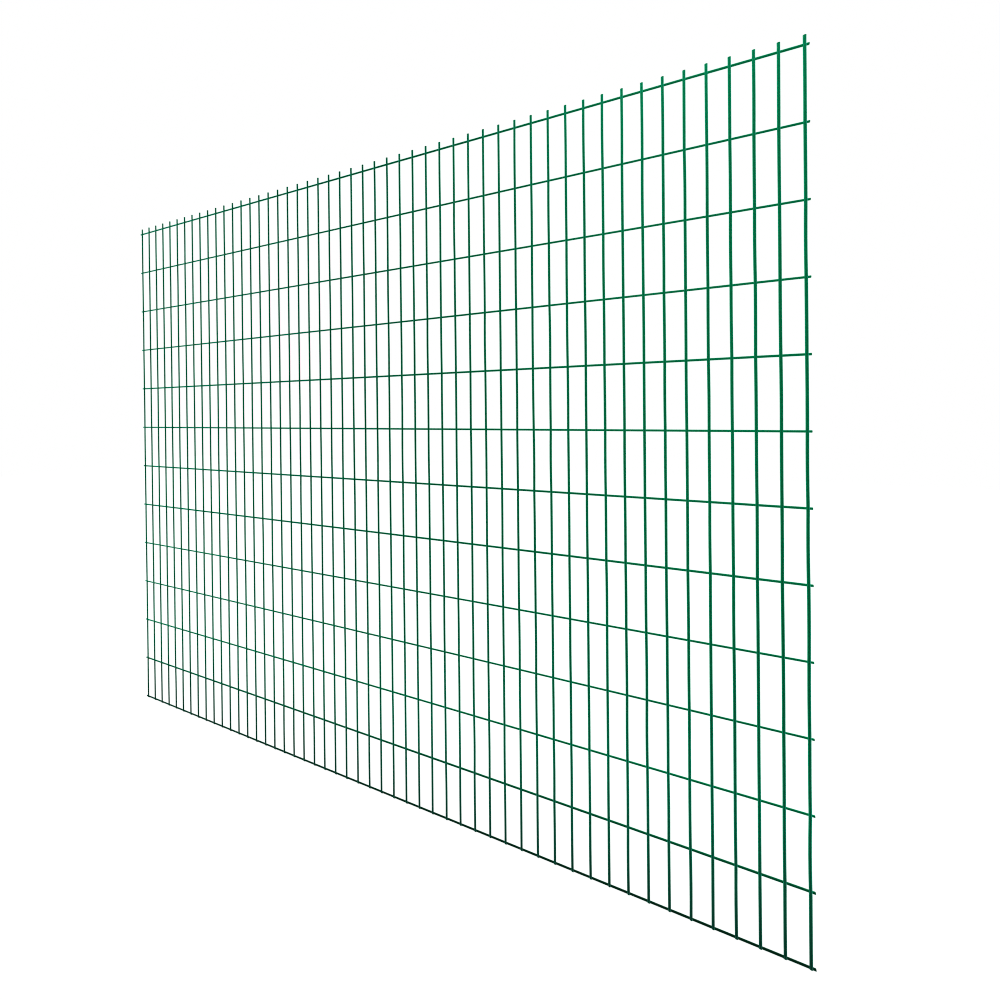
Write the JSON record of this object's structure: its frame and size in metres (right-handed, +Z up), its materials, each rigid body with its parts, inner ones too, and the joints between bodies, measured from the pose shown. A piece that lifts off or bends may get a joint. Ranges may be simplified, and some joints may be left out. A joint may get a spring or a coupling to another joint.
{
  "type": "welded mesh fence panel",
  "caption": "Flat welded mesh fence panel: upright wires welded in front of horizontal wires, with free wire tips standing above the top wire, all under a green plastic coat.",
  "frame": {"origin": "middle of the flat underside of the bottom wire, half way between the two edge wires", "axes": "+X along the panel to the right, +Y towards the back, where the horizontal wires lie, and +Z up; the vertical wires lie on the front, towards -Y"},
  "size_m": [2.53, 0.015, 2.4255],
  "materials": {
    "green_coat": "gloss plastic coat"
  },
  "bodies": {
    "root": {"bottom_wire": "green_coat", "horizontal_wire_02": "green_coat", "horizontal_wire_03": "green_coat", "horizontal_wire_04": "green_coat", "horizontal_wire_05": "green_coat", "horizontal_wire_06": "green_coat", "horizontal_wire_07": "green_coat", "horizontal_wire_08": "green_coat", "horizontal_wire_09": "green_coat", "horizontal_wire_10": "green_coat", "horizontal_wire_11": "green_coat", "horizontal_wire_12": "green_coat", "top_wire": "green_coat", "left_edge_wire": "green_coat", "vertical_wires_1": "green_coat", "vertical_wires_2": "green_coat", "vertical_wires_3": "green_coat", "vertical_wires_4": "green_coat", "vertical_wires_5": "green_coat", "vertical_wires_6": "green_coat", "vertical_wires_7": "green_coat", "right_edge_wire": "green_coat"}
  },
  "joints": []
}
